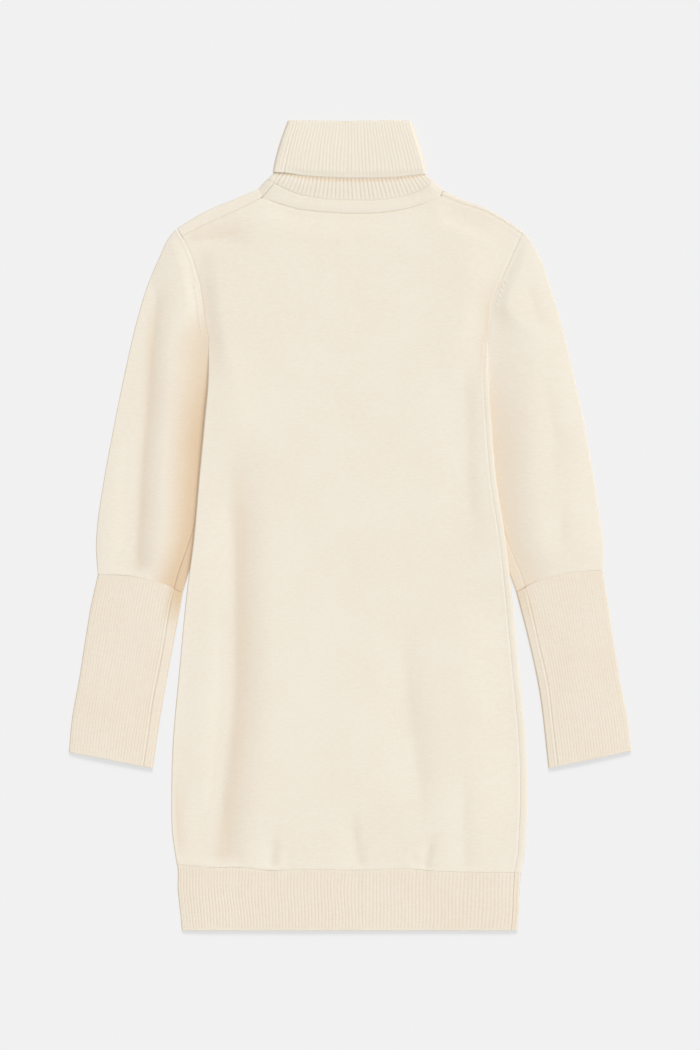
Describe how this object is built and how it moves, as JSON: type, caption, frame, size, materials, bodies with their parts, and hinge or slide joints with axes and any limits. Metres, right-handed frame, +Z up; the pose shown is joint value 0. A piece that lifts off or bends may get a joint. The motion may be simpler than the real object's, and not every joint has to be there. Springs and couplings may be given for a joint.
{
  "type": "sweater dress",
  "caption": "Fine-knit roll-neck sweater dress with long sleeves, deep rib cuffs and a rib hem, laid flat on its back with the sleeves down beside the body.",
  "frame": {"origin": "middle of the laid-out dress's footprint, on the surface it lies on", "axes": "+Y runs from the hem to the collar, +Z up from the surface through the cloth, +X across the dress to the right as seen from above"},
  "size_m": [0.6692, 0.9628, 0.0095],
  "materials": {
    "plain_knit": "fine plain knit, soft and matt, ecru",
    "rib_knit": "fine rib knit, soft and matt, ecru"
  },
  "bodies": {
    "root": {"front_panel": "plain_knit", "back_panel": "plain_knit", "sleeve_left": "plain_knit", "sleeve_right": "plain_knit", "neck_band": "plain_knit", "front_hem_rib": "rib_knit", "back_hem_rib": "rib_knit", "cuff_left": "rib_knit", "cuff_right": "rib_knit", "collar": "rib_knit"}
  },
  "joints": []
}
